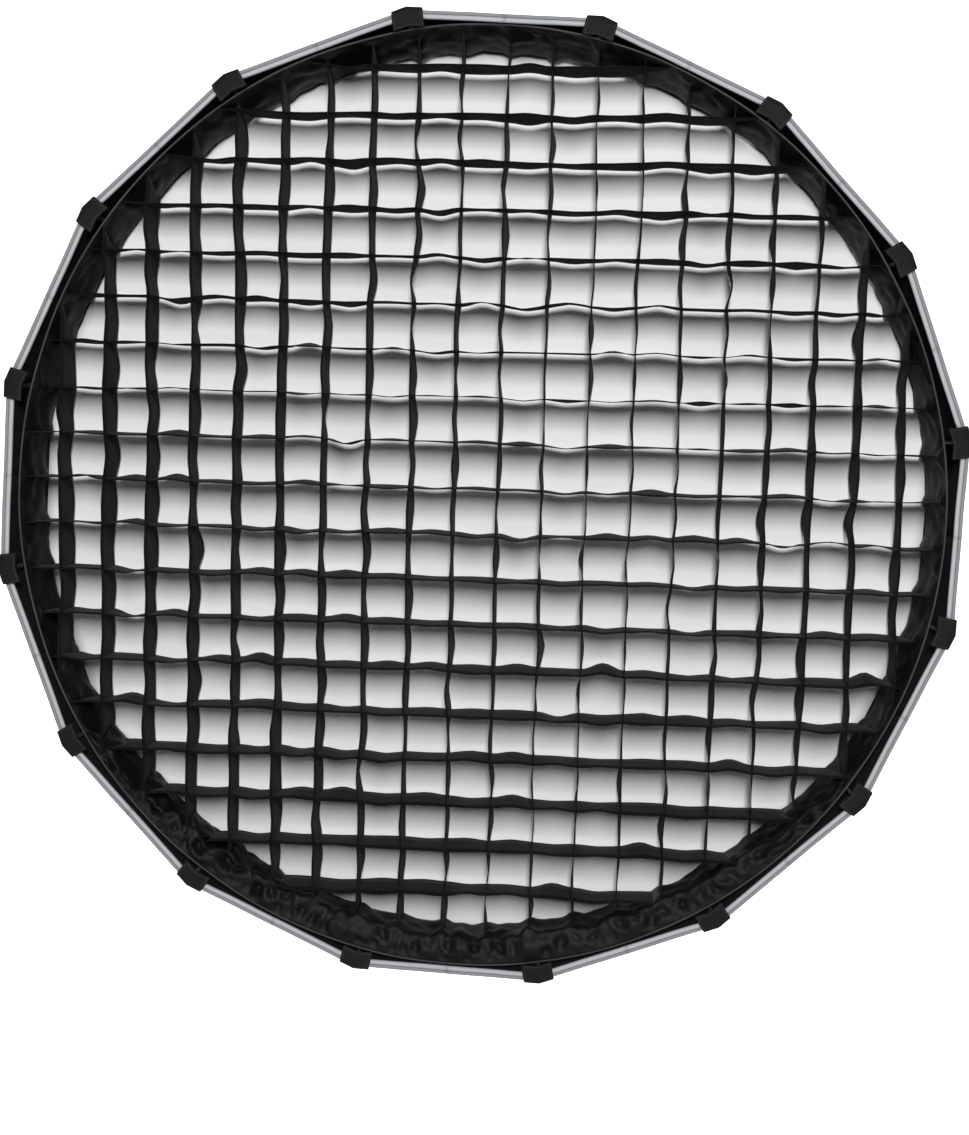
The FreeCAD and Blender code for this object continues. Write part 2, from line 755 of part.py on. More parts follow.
def make_grid_hem():
    """Sloping cloth wall that the strips end on, out to the rim."""
    hem = new_body("hem")
    revolve(hem, [
        ("hem_rear_radius", "grid_front - grid_depth"),
        ("hem_rear_radius + hem_depth", "grid_front - grid_depth"),
        ("hem_front_radius + hem_depth", "hem_front"),
        ("hem_front_radius", "hem_front"),
    ])
    finish(hem, "grid_hem", forward_turn())


def check_and_write():
    """Stop at any failed object or bad shape, then write one file for each sub-part."""
    document.recompute()
    for thing in document.Objects:
        if "Invalid" in thing.State or "Error" in thing.State:
            raise RuntimeError("%s failed: %s" % (thing.Name, thing.State))
    for thing in finished:
        if thing.Shape.isNull() or not thing.Shape.isValid() or not thing.Shape.Solids:
            raise RuntimeError("%s has a bad shape" % thing.Label)
    os.makedirs("parts", exist_ok=True)
    for thing in finished:
        thing.Shape.exportStep("parts/%s.step" % thing.Label)


make_bayonet_mount()
make_retaining_ring()
make_hub_body()
make_hub_cover()
make_hinge_pins()
make_hub_screws()
make_spreader_ring()
make_detent_clips()
make_rear_collar()
make_rods_and_panels()
make_front_diffuser()
make_grid_strips()
make_grid_hem()
check_and_write()
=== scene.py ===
"""The look of the sixteen-rod softbox: cloth, grid, tapes and materials around the CAD frame."""
import math
import random
import bmesh
import bpy
from mathutils import Matrix, Vector, noise


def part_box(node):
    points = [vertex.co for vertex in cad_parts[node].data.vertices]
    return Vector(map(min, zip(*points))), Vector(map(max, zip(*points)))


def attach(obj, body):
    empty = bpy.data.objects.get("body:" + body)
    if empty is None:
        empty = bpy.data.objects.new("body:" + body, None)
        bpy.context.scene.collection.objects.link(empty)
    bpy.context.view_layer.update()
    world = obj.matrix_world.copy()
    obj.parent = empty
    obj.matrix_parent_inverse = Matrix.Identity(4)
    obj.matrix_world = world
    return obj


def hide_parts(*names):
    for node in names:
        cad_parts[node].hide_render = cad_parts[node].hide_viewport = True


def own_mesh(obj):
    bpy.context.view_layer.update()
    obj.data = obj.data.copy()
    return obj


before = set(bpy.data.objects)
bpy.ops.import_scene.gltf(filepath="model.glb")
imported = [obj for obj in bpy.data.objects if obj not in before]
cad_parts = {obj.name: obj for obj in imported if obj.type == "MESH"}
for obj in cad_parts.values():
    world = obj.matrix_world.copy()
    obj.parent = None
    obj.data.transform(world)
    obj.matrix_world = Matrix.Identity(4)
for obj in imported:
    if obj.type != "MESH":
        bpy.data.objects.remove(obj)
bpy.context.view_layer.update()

# Sizes of the CAD part that the cloth has to fit, in metres and degrees.
RODS = 16
HALF_STEP = math.pi / RODS
HINGE = (0.078, 0.020)                  # distance from the axis, distance forward
SOCKET_LENGTH = 0.044
ROOT_ANGLE, TIP_ANGLE = 62.0, 10.0      # rod to axis, at the hub and at the rim
ROD_TIP = (0.441, 0.551)
ROD_TO_LINING = 0.0027
CLOTH_DEPTH = 0.0008
RIM_FORWARD = 0.556
RIM_RADIUS = 0.450
RIM_APOTHEM = RIM_RADIUS * math.cos(HALF_STEP)
TAPE_WIDTH = 0.0074
DIFFUSER_FORWARD = 0.4970
DIFFUSER_RADIUS = 0.4258                # at a corner
BAND_SPAN = (0.4955, 0.5045)
GRID_COLUMNS, GRID_ROWS = 20, 19
COLUMN_PITCH, ROW_PITCH = 0.041, 0.0425
COLUMN_SHIFT, ROW_SHIFT = -0.001, 0.015
GRID_TURN = math.radians(2.0)
GRID_REAR, GRID_FRONT = 0.506, 0.550
HEM_BEND, HEM_FORWARD = 0.547, 0.5525


# --- meshes ------------------------------------------------------------------------

def place(radius, forward, angle):
    """A point at a distance from the axis, forward of the mount plane, at an angle from +X."""
    return Vector((radius * math.cos(angle), -forward, radius * math.sin(angle)))


def rod_angle(index):
    """Clockwise from the corner left of the top, seen from the front."""
    return math.pi / 2 + HALF_STEP - 2 * HALF_STEP * index


def beside_rod(index, side, apothem, from_corner, forward):
    """A point on one of the flat sides that meet at a rod, at a distance from that corner."""
    to_middle = place(1, 0, rod_angle(index) - side * HALF_STEP)
    along_side = Vector((-to_middle.z, 0, to_middle.x)) * side
    reach = apothem * math.tan(HALF_STEP) - from_corner
    return to_middle * apothem + along_side * reach + Vector((0, -forward, 0))


def smooth(low, high, value):
    """0 below low, 1 above high, and an even curve between."""
    t = max(0.0, min(1.0, (value - low) / (high - low)))
    return t * t * (3 - 2 * t)


def mesh_piece(name, points, faces, materials, uvs=None, face_slots=None, round_length=None):
    """A mesh object. round_length is the length of a ring's cloth, where its places start again."""
    mesh = bpy.data.meshes.new(name)
    mesh.from_pydata([tuple(p) for p in points], [], faces)
    if uvs:
        layer = mesh.uv_layers.new(name="cloth")
        for polygon in mesh.polygons:
            around = [uvs[mesh.loops[loop].vertex_index][0] for loop in polygon.loop_indices]
            crosses = round_length and max(around) - min(around) > round_length / 2
            for loop in polygon.loop_indices:
                u, v = uvs[mesh.loops[loop].vertex_index]
                layer.data[loop].uv = (u + round_length, v) if crosses and u < round_length / 2 else (u, v)
    for material in materials:
        mesh.materials.append(material)
    if face_slots:
        mesh.polygons.foreach_set("material_index", face_slots)
    mesh.polygons.foreach_set("use_smooth", [True] * len(mesh.polygons))
    shape = bmesh.new()
    shape.from_mesh(mesh)
    bmesh.ops.recalc_face_normals(shape, faces=shape.faces)
    shape.to_mesh(mesh)
    shape.free()
    piece = bpy.data.objects.new(name, mesh)
    bpy.context.scene.collection.objects.link(piece)
    return piece


def grid_faces(rows, columns, start=0, closed=False):
    """Quads between rows of points; closed joins the last column to the first."""
    faces = []
    for row in range(rows - 1):
        for column in range(columns if closed else columns - 1):
            following = (column + 1) % columns
            faces.append((start + row * columns + column, start + row * columns + following,
                          start + (row + 1) * columns + following, start + (row + 1) * columns + column))
    return faces


def rim_faces(rows, columns, offset):
    """Quads that close the open edges between two parallel grids of points."""
    loop = list(range(columns))
    loop += [row * columns + columns - 1 for row in range(1, rows)]
    loop += [(rows - 1) * columns + column for column in range(columns - 2, -1, -1)]
    loop += [row * columns for row in range(rows - 2, 0, -1)]
    faces = []
    for index, here in enumerate(loop):
        there = loop[(index + 1) % len(loop)]
        faces.append((here, here + offset, there + offset, there))
    return faces


def ring_cloth(name, point_at, rows, around, material, round_length):
    """A closed ring of cloth; point_at(layer, share, angle) gives a point and its depth on the cloth."""
    points, uvs = [], []
    for layer in (0, 1):
        for row in range(rows):
            for step in range(around):
                angle = 2 * math.pi * step / around
                point, across = point_at(layer, row / (rows - 1), angle)
                points.append(point)
                uvs.append((round_length * step / around, across))
    size = rows * around
    faces = grid_faces(rows, around, 0, closed=True) + grid_faces(rows, around, size, closed=True)
    for start in (0, size - around):
        for step in range(around):
            here, there = start + step, start + (step + 1) % around
            faces.append((here, there, there + size, here + size))
    return mesh_piece(name, points, faces, [material], uvs, round_length=round_length)


def closed_tube(name, path, radius, material, sides=10):
    """A round strand along a closed line of points."""
    points, uvs = [], []
    count = len(path)
    step_length = (path[1] - path[0]).length
    for index, centre in enumerate(path):
        along = (path[(index + 1) % count] - path[index - 1]).normalized()
        side = along.cross(Vector((0, 1, 0))).normalized()
        up = side.cross(along)
        for step in range(sides):
            turn = 2 * math.pi * step / sides
            points.append(centre + side * (radius * math.cos(turn)) + up * (radius * math.sin(turn)))
            uvs.append((index * step_length, radius * turn))
    faces = grid_faces(count, sides, closed=True)
    last = (count - 1) * sides
    for step in range(sides):
        following = (step + 1) % sides
        faces.append((last + step, last + following, following, step))
    return mesh_piece(name, points, faces, [material], uvs, round_length=count * step_length)


# --- materials ---------------------------------------------------------------------

class Shader:
    """A principled material and short ways to add nodes to it."""

    def __init__(self, name, colour, roughness, metallic=0.0, sheen=0.0, specular=0.5):
        self.material = bpy.data.materials.new(name)
        self.material.use_nodes = True
        self.nodes = self.material.node_tree.nodes
        self.links = self.material.node_tree.links
        self.principled = self.nodes["Principled BSDF"]
        self.principled.inputs["Base Color"].default_value = (*colour, 1)
        self.principled.inputs["Roughness"].default_value = roughness
        self.principled.inputs["Metallic"].default_value = metallic
        self.principled.inputs["Sheen Weight"].default_value = sheen
        self.principled.inputs["Specular IOR Level"].default_value = specular
        self.colour = colour
        self.shade = None
        self.height = None

    def add(self, kind, inputs=None, **settings):
        """A node of a kind, with sockets linked or set."""
        made = self.nodes.new("ShaderNode" + kind)
        for name, value in settings.items():
            setattr(made, name, value)
        for name, value in (inputs or {}).items():
            if isinstance(value, bpy.types.NodeSocket):
                self.links.new(value, made.inputs[name])
            else:
                made.inputs[name].default_value = value
        return made

    def math(self, operation, first, second=0.0):
        """One sum. MULTIPLY_ADD adds a half, the value its third socket starts with."""
        return self.add("Math", {0: first, 1: second}, operation=operation).outputs[0]

    def place(self):
        return self.add("TexCoord").outputs["Object"]

    def cloth_place(self):
        return self.add("UVMap", uv_map="cloth").outputs["UV"]

    def cloth_axes(self):
        """The two directions of the cloth, in metres along it."""
        parts = self.add("SeparateXYZ", {0: self.cloth_place()})
        return parts.outputs["X"], parts.outputs["Y"]

    def noise(self, vector, scale, detail=3.0, roughness=0.6):
        inputs = {"Vector": vector, "Scale": scale, "Detail": detail, "Roughness": roughness}
        return self.add("TexNoise", inputs).outputs["Fac"]

    def weave(self, period):
        """Over-and-under threads in two directions, from 0 to 1."""
        waves = []
        for axis in self.cloth_axes():
            phase = self.math("MULTIPLY", axis, 2 * math.pi / period)
            waves.append(self.math("SINE", phase))
        return self.math("MULTIPLY_ADD", self.math("MULTIPLY", *waves), 0.5)

    def ramp(self, factor, stops):
        """A colour for each place of the factor."""
        ramp = self.add("ValToRGB", {"Fac": factor})
        elements = ramp.color_ramp.elements
        while len(elements) < len(stops):
            elements.new(0.5)
        for element, (position, colour) in zip(elements, stops):
            element.position = position
            element.color = (*colour, 1)
        return ramp.outputs["Color"]

    def paint(self, colour):
        self.shade = colour
        self.links.new(colour, self.principled.inputs["Base Color"])

    def vary_colour(self, factor, low, high, start=0.3, end=0.7):
        """From low times the colour to high times it, as the factor goes from start to end."""
        dark = [c * low for c in self.colour]
        light = [min(1.0, c * high) for c in self.colour]
        self.paint(self.ramp(factor, [(start, dark), (end, light)]))

    def cover(self, factor, colour):
        """Another colour over the present one, where the factor is 1."""
        second = colour if isinstance(colour, bpy.types.NodeSocket) else (*colour, 1)
        mixed = self.add("Mix", {0: factor, 6: self.shade, 7: second}, data_type="RGBA")
        self.paint(mixed.outputs[2])

    def vary_roughness(self, factor, low, high):
        mapped = self.add("MapRange", {"Value": factor, "To Min": low, "To Max": high})
        self.links.new(mapped.outputs[0], self.principled.inputs["Roughness"])

    def bump(self, height, distance, strength=1.0):
        """Relief on top of the relief made before."""
        inputs = {"Height": height, "Distance": distance, "Strength": strength}
        if self.height is not None:
            inputs["Normal"] = self.height
        self.height = self.add("Bump", inputs).outputs["Normal"]
        self.links.new(self.height, self.principled.inputs["Normal"])

    def stitches(self, from_line, along, thread, period=0.0032, width=0.0003):
        """A row of thread where from_line, in metres, is near nought."""
        near = self.math("LESS_THAN", self.math("ABSOLUTE", from_line), width)
        phase = self.math("SINE", self.math("MULTIPLY", along, 2 * math.pi / period))
        sewn = self.math("MULTIPLY", near, self.math("GREATER_THAN", phase, -0.3))
        self.cover(sewn, thread)
        self.bump(sewn, 0.0003, 0.7)


def cloth_shader(name, colour, period, roughness=0.8, sheen=0.03, creases=0.0006, specular=0.15):
    """Woven cloth: threads at the given period, soft creases and slight fading."""
    shader = Shader(name, colour, roughness, sheen=sheen, specular=specular)
    shader.vary_colour(shader.noise(shader.place(), 9.0, 4.0), 0.75, 1.3)
    shader.vary_roughness(shader.noise(shader.cloth_place(), 60.0), roughness - 0.08, roughness + 0.08)
    shader.bump(shader.noise(shader.place(), 45.0, 4.0, 0.65), creases, 0.6)
    shader.bump(shader.weave(period), period * 0.12, 0.6)
    return shader


def shell_material():
    """Black coated nylon, sewn along each rod with two rows of stitches."""
    shader = cloth_shader("shell_cloth", (0.012, 0.012, 0.0135), 0.0009, 0.55, 0.06, specular=0.35)
    across, along = shader.cloth_axes()
    from_seam = shader.math("SUBTRACT", shader.math("ABSOLUTE", across), 0.0042)
    shader.stitches(from_seam, along, (0.05, 0.05, 0.052), 0.0036)
    return shader.material


def pocket_material(half_length, depth):
    """Heavy black webbing with a stitched border."""
    shader = cloth_shader("pocket_cloth", (0.006, 0.006, 0.0063), 0.0013, 0.7, 0.03, 0.0008)
    along, across = shader.cloth_axes()
    from_end = shader.math("SUBTRACT", half_length, shader.math("ABSOLUTE", along))
    from_middle = shader.math("ABSOLUTE", shader.math("SUBTRACT", across, depth / 2))
    from_side = shader.math("SUBTRACT", depth / 2, from_middle)
    from_border = shader.math("MINIMUM", from_end, from_side)
    from_row = shader.math("SUBTRACT", from_border, 0.0018)
    shader.stitches(from_row, shader.math("ADD", along, across), (0.04, 0.04, 0.042), 0.0022, 0.00028)
    return shader.material


def moulded_material(name, colour, roughness=0.5):
    """Moulded plastic: fine spark-eroded grain and edges rubbed paler."""
    shader = Shader(name, colour, roughness)
    where = shader.place()
    wear = shader.add("NewGeometry").outputs["Pointiness"]
    rubbed = shader.math("ADD", wear, shader.math("MULTIPLY", shader.noise(where, 90.0), 0.06))
    shader.vary_colour(rubbed, 0.9, 2.6, 0.54, 0.62)
    shader.vary_roughness(shader.noise(where, 300.0), roughness - 0.1, roughness + 0.12)
    shader.bump(shader.noise(where, 2600.0, 2.0), 0.00012, 0.5)
    return shader.material


def metal_material(name, colour, roughness, turned=True):
    """Machined metal: rings left by the tool, or a drawn grain, and small scuffs."""
    shader = Shader(name, colour, roughness, metallic=1.0)
    where = shader.place()
    grain_scale = (1.0, 60.0, 1.0) if turned else (40.0, 1.0, 40.0)
    stretched = shader.add("Mapping", {"Vector": where, "Scale": grain_scale}).outputs[0]
    grain = shader.noise(stretched, 70.0, 5.0, 0.7)
    shader.vary_colour(grain, 0.85, 1.12)
    shader.vary_roughness(shader.noise(where, 120.0, 6.0), roughness - 0.1, roughness + 0.15)
    shader.bump(grain, 0.00008, 0.5)
    return shader.material


def diffuser_material():
    """White front cloth: close plain weave, faintly cool, soft sheen."""
    shader = Shader("diffuser_cloth", (0.86, 0.87, 0.885), 0.7, sheen=0.15)
    shader.vary_colour(shader.noise(shader.place(), 6.0, 4.0), 0.965, 1.02)
    shader.vary_roughness(shader.noise(shader.cloth_place(), 80.0), 0.62, 0.78)
    shader.bump(shader.noise(shader.place(), 14.0, 3.0), 0.0012, 0.4)
    shader.bump(shader.weave(0.0007), 0.0001, 0.5)
    return shader.material


def lining_material():
    """Silver lining: pebbled metallic coating on cloth."""
    shader = Shader("lining_cloth", (0.74, 0.75, 0.77), 0.38, metallic=0.85)
    pebble = shader.add("TexVoronoi", {"Vector": shader.cloth_place(), "Scale": 380.0}).outputs["Distance"]
    shader.vary_colour(shader.noise(shader.place(), 12.0), 0.88, 1.05)
    shader.vary_roughness(pebble, 0.3, 0.5)
    shader.bump(pebble, 0.0005, 0.8)
    return shader.material


def tape_material():
    """Ribbed edge tape, folded in two: a pale roll inside, painted lighter as a highlight, a thread line and
    a greyer roll outside.
    """
    pale, line, grey = (0.43, 0.445, 0.475), (0.05, 0.05, 0.055), (0.20, 0.205, 0.215)
    shader = Shader("rim_tape", pale, 0.55, sheen=0.2)
    along, across = shader.cloth_axes()
    share = shader.math("ADD", shader.math("DIVIDE", across, TAPE_WIDTH), 0.5)
    # painted highlight: the inside roll's pale colour stands in for light falling on it, against the greyer
    # outside roll
    shader.paint(shader.ramp(share, [(0.0, pale), (0.50, pale), (0.53, line), (0.58, line),
                                     (0.61, grey), (1.0, grey)]))
    rubbed = shader.noise(shader.place(), 60.0, 5.0)
    shader.cover(shader.math("MULTIPLY", rubbed, 0.35), (0.24, 0.245, 0.26))
    ribs = shader.math("SINE", shader.math("MULTIPLY", along, 2 * math.pi / 0.0012))
    shader.vary_roughness(shader.noise(shader.cloth_place(), 300.0), 0.45, 0.65)
    shader.bump(ribs, 0.00012, 0.5)
    shader.bump(shader.noise(shader.cloth_place(), 900.0), 0.0001, 0.4)
    return shader.material


def loop_material():
    """Black loop tape: a short fuzzy pile."""
    shader = Shader("loop_tape", (0.004, 0.004, 0.0044), 0.9, sheen=0.02, specular=0.1)
    pile = shader.noise(shader.place(), 1400.0, 4.0, 0.8)
    shader.vary_colour(pile, 0.6, 1.7)
    shader.vary_roughness(pile, 0.85, 1.0)
    shader.bump(pile, 0.0005, 0.8)
    return shader.material


def rod_material():
    """Black pultruded glass fibre: long fine streaks under a gloss coat."""
    shader = Shader("rod_fibre", (0.03, 0.03, 0.032), 0.28)
    stretched = shader.add("Mapping", {"Vector": shader.place(), "Scale": (1, 0.05, 1)}).outputs[0]
    streaks = shader.noise(stretched, 900.0)
    shader.vary_colour(streaks, 0.7, 1.6)
    shader.vary_roughness(streaks, 0.2, 0.4)
    shader.bump(streaks, 0.00005, 0.4)
    return shader.material


POCKET_HALF_LENGTH = 0.0145
POCKET_DEPTH = 0.046                    # measured over the fold

SHELL = shell_material()
LINING = lining_material()
LOOP = loop_material()
GRID = cloth_shader("grid_cloth", (0.0065, 0.0065, 0.007), 0.0008, 0.75, 0.035, specular=0.03).material
HEM = cloth_shader("hem_cloth", (0.0030, 0.0030, 0.0033), 0.0009, 0.5, 0.012, 0.0015, 0.16).material
PIPING = cloth_shader("hem_piping", (0.045, 0.045, 0.048), 0.0006, 0.6).material
POCKET = pocket_material(POCKET_HALF_LENGTH, POCKET_DEPTH)
COLLAR = cloth_shader("collar_cloth", (0.010, 0.010, 0.011), 0.0012, 0.8, 0.06).material
DIFFUSER = diffuser_material()
TAPE = tape_material()
HUB = moulded_material("hub_plastic", (0.020, 0.020, 0.021), 0.48)
SPREADER = moulded_material("spreader_plastic", (0.09, 0.09, 0.095), 0.42)
MOUNT = metal_material("mount_metal", (0.27, 0.27, 0.28), 0.44)
STEEL = metal_material("steel", (0.60, 0.61, 0.62), 0.25, turned=False)
ROD = rod_material()

CAD_LOOKS = {
    "bayonet_mount": MOUNT, "retaining_ring": MOUNT, "hub_body": HUB, "hub_cover": HUB,
    "hinge_pins": STEEL, "hub_screws": STEEL, "detent_clips": STEEL,
    "spreader_ring": SPREADER, "rod": ROD, "knuckle": HUB,
}


def dress_cad_nodes():
    """Give every CAD node that stays in view its finished material."""
    for name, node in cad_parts.items():
        look = CAD_LOOKS.get(name) or CAD_LOOKS.get(name.rsplit("_", 1)[0])
        if look is None:
            continue
        if not node.data.materials:
            node.data.materials.append(look)
        for slot_index in range(len(node.material_slots)):
            node.material_slots[slot_index].material = look


# --- the shell: one share of the cloth on each rod -----------------------------------

def direction(angle):
    """Unit (radius, forward) along a line at an angle in degrees to the axis."""
    return Vector((math.sin(math.radians(angle)), math.cos(math.radians(angle))))


def outward(angle):
    """Unit (radius, forward) square to that line, away from the axis."""
    return Vector((math.cos(math.radians(angle)), -math.sin(math.radians(angle))))


def rod_poles(offset):
    """Poles of the rod's bend, moved outwards by an offset, as (radius, forward)."""
    root, tip = direction(ROOT_ANGLE), direction(TIP_ANGLE)
    first = Vector(HINGE) + root * SOCKET_LENGTH + outward(ROOT_ANGLE) * offset
    last = Vector(ROD_TIP) + outward(TIP_ANGLE) * offset
    chord = last - first
    cross = root.x * tip.y - root.y * tip.x
    along = (chord.x * tip.y - chord.y * tip.x) / cross
    return first, first + root * along, last


def profile(share, offset):
    """(radius, forward) and outward normal at a share of the way from hub to rim."""
    bend_share = 0.985
    first, middle, last = rod_poles(offset)
    if share > bend_share:
        reach = (RIM_FORWARD - ROD_TIP[1]) / math.cos(math.radians(TIP_ANGLE))
        point = last + direction(TIP_ANGLE) * reach * (share - bend_share) / (1 - bend_share)
        return point, outward(TIP_ANGLE)
    t = share / bend_share
    point = first * (1 - t) ** 2 + middle * 2 * t * (1 - t) + last * t * t
    slope = ((middle - first) * (1 - t) + (last - middle) * t).normalized()
    return point, Vector((slope.y, -slope.x))


def cloth_point(index, share, across, offset):
    """A point of the shell: across is -1 to 1 from half way to one neighbour to the other."""
    (radius, forward), normal = profile(share, offset)
    deepest_sag, ridge_height, ridge_width = 0.0055, 0.0007, 0.003
    sag = deepest_sag * math.sin(math.pi * min(1.0, share * 1.02)) * across * across
    radius -= sag * normal.x
    forward -= sag * normal.y
    side = 1 if across >= 0 else -1
    from_corner = radius * math.sin(HALF_STEP) * abs(across)
    base = beside_rod(index, side, radius * math.cos(HALF_STEP), from_corner, forward)
    out = place(1, 0, rod_angle(index) - side * HALF_STEP) * normal.x + Vector((0, -normal.y, 0))
    ripple = noise.noise(base * 26.0) * 0.0011 + noise.noise(base * 70.0) * 0.0004
    ridge = ridge_height * math.exp(-(from_corner / ridge_width) ** 2)
    fade = min(1.0, share * 8, (1 - share) * 8)
    return base + out * (ripple * fade + ridge)


ACROSS = [0, 0.012, 0.03, 0.055, 0.09, 0.16, 0.28, 0.42, 0.58, 0.75, 0.88, 1.0]
ALONG = 60
LOOP_TAPE_START = 0.498                # forward of this the shell's inside is loop tape


def gore_cut():
    """Width, length and area of one rod's share of the shell, laid flat."""
    length = area = 0.0
    (last, _) = profile(0, ROD_TO_LINING)
    for step in range(1, ALONG + 1):
        (here, _) = profile(step / ALONG, ROD_TO_LINING)
        length += (here - last).length
        area += (here - last).length * (here.x + last.x) * math.sin(HALF_STEP)
        last = here
    return 2 * last.x * math.sin(HALF_STEP), length, area


def make_shell_share(index):
    """Black outer cloth and silver lining, from half way to one rod to half way to the next."""
    columns = [-a for a in reversed(ACROSS[1:])] + ACROSS
    rows = [row / ALONG for row in range(ALONG + 1)]
    length = gore_cut()[1]
    points, uvs = [], []
    for offset in (ROD_TO_LINING + CLOTH_DEPTH, ROD_TO_LINING):
        for share in rows:
            width = profile(share, 0)[0].x * math.sin(HALF_STEP)
            for across in columns:
                points.append(cloth_point(index, share, across, offset))
                uvs.append((across * width, share * length))
    count, wide = len(rows), len(columns)
    outer = grid_faces(count, wide)
    inner = grid_faces(count, wide, count * wide)
    edge = rim_faces(count, wide, count * wide)
    slots = [0] * len(outer)
    for share in rows[:-1]:
        taped = profile(share, ROD_TO_LINING)[0].y > LOOP_TAPE_START
        slots += [2 if taped else 1] * (wide - 1)
    slots += [0] * len(edge)
    number = "%02d" % (index + 1)
    share_piece = mesh_piece("shell_cloth_" + number, points, outer + inner + edge,
                             [SHELL, LINING, LOOP], uvs, slots)
    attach(share_piece, "rib_" + number)
    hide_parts("shell_panel_" + number)
    return share_piece


def gather(piece):
    """Gives a piece its own copy of its mesh."""
    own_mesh(piece)


def tape_section():
    """The rolled tape's outline as (across, forward): two rolls side by side, flat behind."""
    rolls = [(-0.0018, 0.0020, 0.0017), (0.0020, 0.0018, 0.0014)]    # middle, half width, height
    base, back = 0.0012, -0.0006
    outline, steps = [], 18
    for step in range(steps + 1):
        across = (step / steps - 0.5) * TAPE_WIDTH
        rise = 0.0
        for middle, half, height in rolls:
            inside = 1 - ((across - middle) / half) ** 2
            rise = max(rise, height * math.sqrt(inside) if inside > 0 else 0.0)
        outline.append((across, base + rise))
    return outline + [(TAPE_WIDTH / 2, back), (-TAPE_WIDTH / 2, back)]


def make_rim_tape(index):
    """Pale rolled tape along the rim, half way to each neighbour."""
    number = "%02d" % (index + 1)
    section = tape_section()
    points, uvs = [], []
    count = 20
    for station in range(-count, count + 1):
        side = 1 if station >= 0 else -1
        share = abs(station) / count
        seen = beside_rod(index, side, RIM_APOTHEM, share * RIM_APOTHEM * math.tan(HALF_STEP), 0)
        wobble = noise.noise(seen * 18.0) * 0.0005
        lift = noise.noise(seen * 30.0 + Vector((0, 3, 0))) * 0.0005
        for across, forward in section:
            apothem = RIM_APOTHEM - TAPE_WIDTH / 2 + across + wobble
            from_corner = share * apothem * math.tan(HALF_STEP)
            points.append(beside_rod(index, side, apothem, from_corner, RIM_FORWARD + forward + lift))
            uvs.append((side * from_corner, across))
    steps = len(section)
    faces = grid_faces(2 * count + 1, steps, closed=True)
    faces.append(tuple(range(steps)))
    faces.append(tuple(2 * count * steps + step for step in range(steps)))
    tape = mesh_piece("rim_tape_" + number, points, faces, [TAPE], uvs)
    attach(tape, "rib_" + number)
    return tape


def shell_apothem(forward):
    """Distance from the axis to the shell's outside at the middle of a side near the rim."""
    for step in range(ALONG, 0, -1):
        (radius, here), _ = profile(step / ALONG, ROD_TO_LINING + CLOTH_DEPTH)
        if here <= forward:
            return radius * math.cos(HALF_STEP)


def make_tip_pocket(index):
    """Black webbing over the rod's tip, folded over the rim's corner and down the shell's outside."""
    number = "%02d" % (index + 1)
    # (distance beyond the middle of the rim's side, forward), from the front over the fold
    front = [(-0.0150, 0.5592), (-0.0136, 0.5601), (-0.0085, 0.5604), (-0.0035, 0.5603),
             (-0.0004, 0.5595), (0.0014, 0.5578), (0.0015, 0.5556), (0.0003, 0.5530)]
    behind = [(shell_apothem(forward) - RIM_APOTHEM + 0.0005, forward)
              for forward in (0.5475, 0.5400, 0.5330)]
    section = [Vector(point) for point in front + behind]
    half = [0.0015, 0.0055, 0.0100, 0.0138, POCKET_HALF_LENGTH]
    stations = [-station for station in reversed(half)] + [0] + half
    thickness = 0.0013
    points, uvs = [], []
    for layer in (0, 1):
        over_fold = 0.0
        for row, here in enumerate(section):
            ahead, back = section[min(row + 1, len(section) - 1)], section[max(row - 1, 0)]
            slope = (ahead - back).normalized()
            across, forward = here + Vector((-slope.y, slope.x)) * thickness * layer
            over_fold += (here - back).length
            for station in stations:
                side = 1 if station >= 0 else -1
                apothem = RIM_APOTHEM + across
                bow = 0.0004 * noise.noise(Vector((index, station * 90, over_fold * 90)))
                points.append(beside_rod(index, side, apothem, abs(station), forward + bow))
                uvs.append((station, over_fold))
    rows, wide = len(section), len(stations)
    faces = grid_faces(rows, wide) + grid_faces(rows, wide, rows * wide) + rim_faces(rows, wide, rows * wide)
    pocket = mesh_piece("tip_pocket_" + number, points, faces, [POCKET], uvs)
    rounding = pocket.modifiers.new("rounding", "SUBSURF")
    rounding.levels = rounding.render_levels = 2
    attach(pocket, "rib_" + number)
    return pocket


def make_shell():
    """Every share of the shell, with its tape and its pocket."""
    for index in range(RODS):
        share, tape, pocket = make_shell_share(index), make_rim_tape(index), make_tip_pocket(index)
        gather(share)
        gather(tape)


# --- front cloth -------------------------------------------------------------------

def polygon_radius(angle, corner_radius):
    """Distance from the axis to the edge of a rim-shaped polygon at an angle."""
    from_middle = (angle - rod_angle(0) + HALF_STEP) % (2 * HALF_STEP) - HALF_STEP
    return corner_radius * math.cos(HALF_STEP) / math.cos(HALF_STEP - abs(from_middle))


